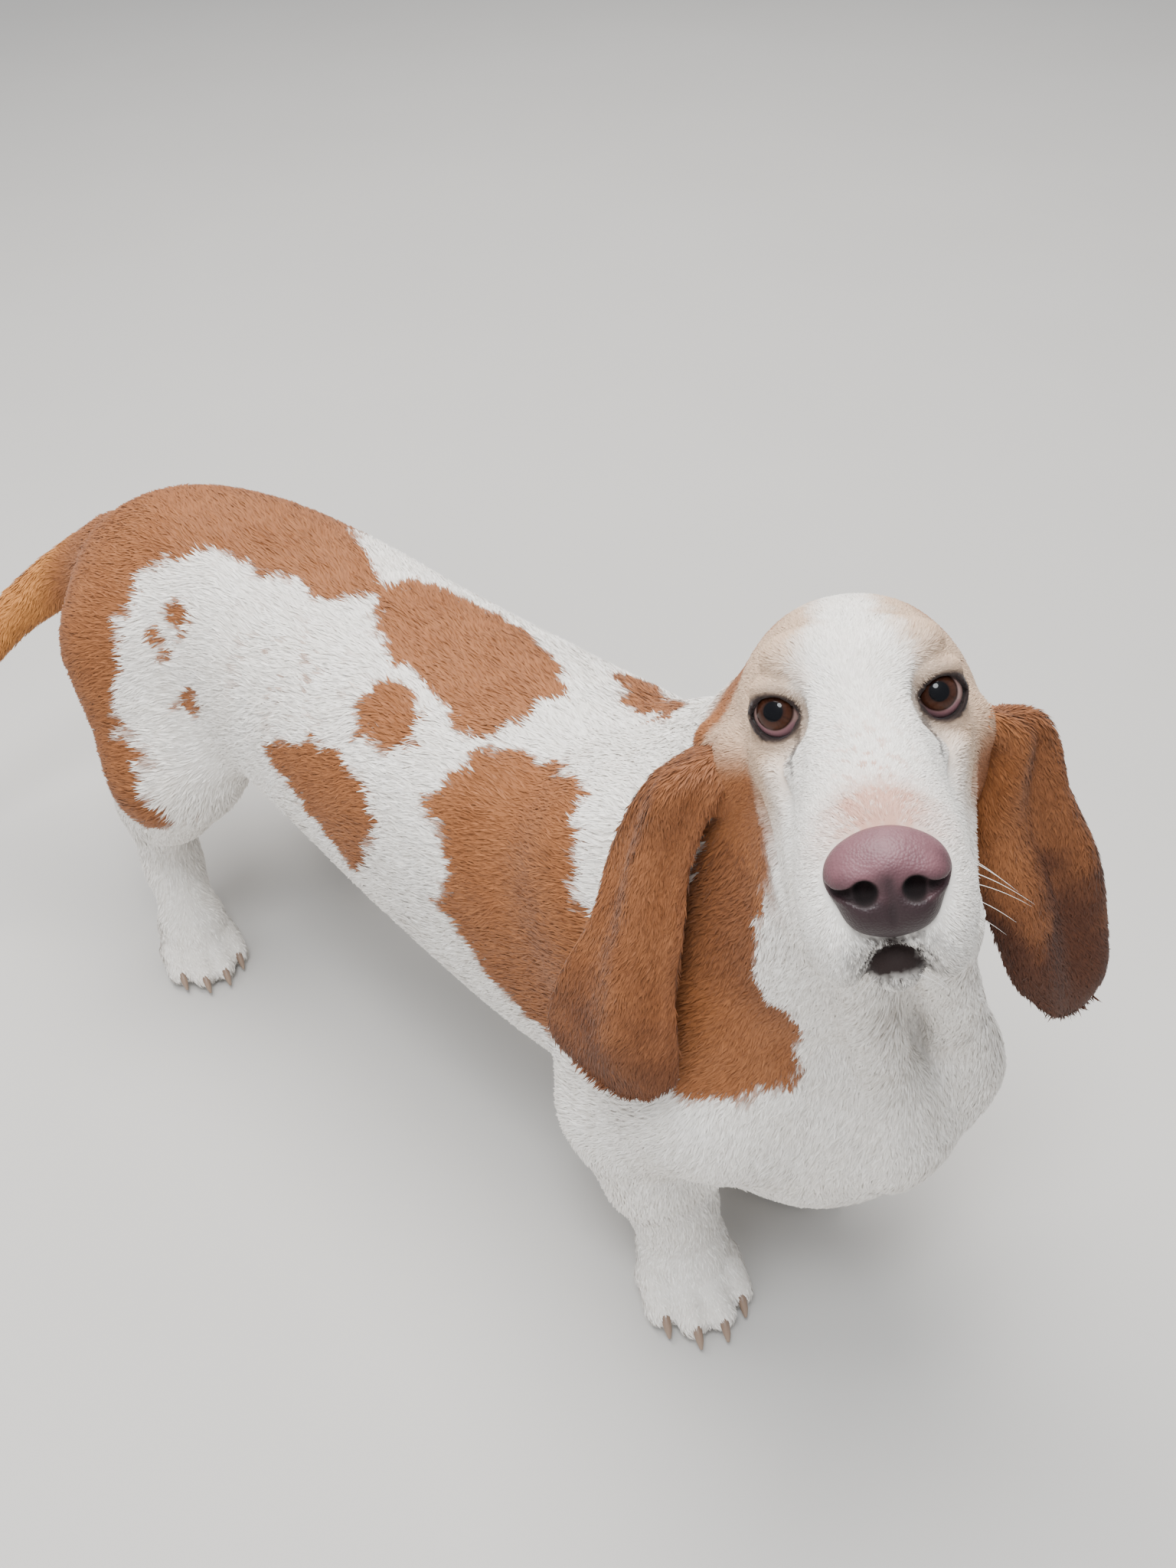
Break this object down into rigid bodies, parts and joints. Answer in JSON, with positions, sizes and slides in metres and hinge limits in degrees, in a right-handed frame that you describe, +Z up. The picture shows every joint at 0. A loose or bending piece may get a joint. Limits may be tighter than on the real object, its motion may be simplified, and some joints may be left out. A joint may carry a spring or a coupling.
{
  "type": "basset hound",
  "caption": "Standing basset hound with long hanging ears, low body and short legs, head turned to its right and raised.",
  "frame": {"origin": "middle of the model's footprint, on the floor it stands on", "axes": "+Z up, -Y the way the body faces, +X the hound's left"},
  "size_m": [0.3406, 0.8774, 0.5198],
  "materials": {
    "coat_white": "matte short fur",
    "coat_red": "matte short fur",
    "nose_leather": "moist satin",
    "eye": "wet gloss",
    "claw": "satin horn"
  },
  "bodies": {
    "root": {"torso": "coat_white", "neck": "coat_white", "tail": "coat_red", "front_leg_right": "coat_white", "front_paw_right": "coat_white", "front_leg_left": "coat_white", "front_paw_left": "coat_white", "hind_leg_right": "coat_white", "hind_paw_right": "coat_white", "hind_leg_left": "coat_white", "hind_paw_left": "coat_white", "head": "coat_white", "eye_right": "eye", "eye_left": "eye", "lower_jaw": "coat_white", "nose": "nose_leather", "ear_right": "coat_red", "ear_left": "coat_red", "claw_front_right_1": "claw", "claw_front_right_2": "claw", "claw_front_right_3": "claw", "claw_front_right_4": "claw", "claw_front_left_1": "claw", "claw_front_left_2": "claw", "claw_front_left_3": "claw", "claw_front_left_4": "claw", "claw_hind_right_1": "claw", "claw_hind_right_2": "claw", "claw_hind_right_3": "claw", "claw_hind_right_4": "claw", "claw_hind_left_1": "claw", "claw_hind_left_2": "claw", "claw_hind_left_3": "claw", "claw_hind_left_4": "claw"}
  },
  "joints": []
}
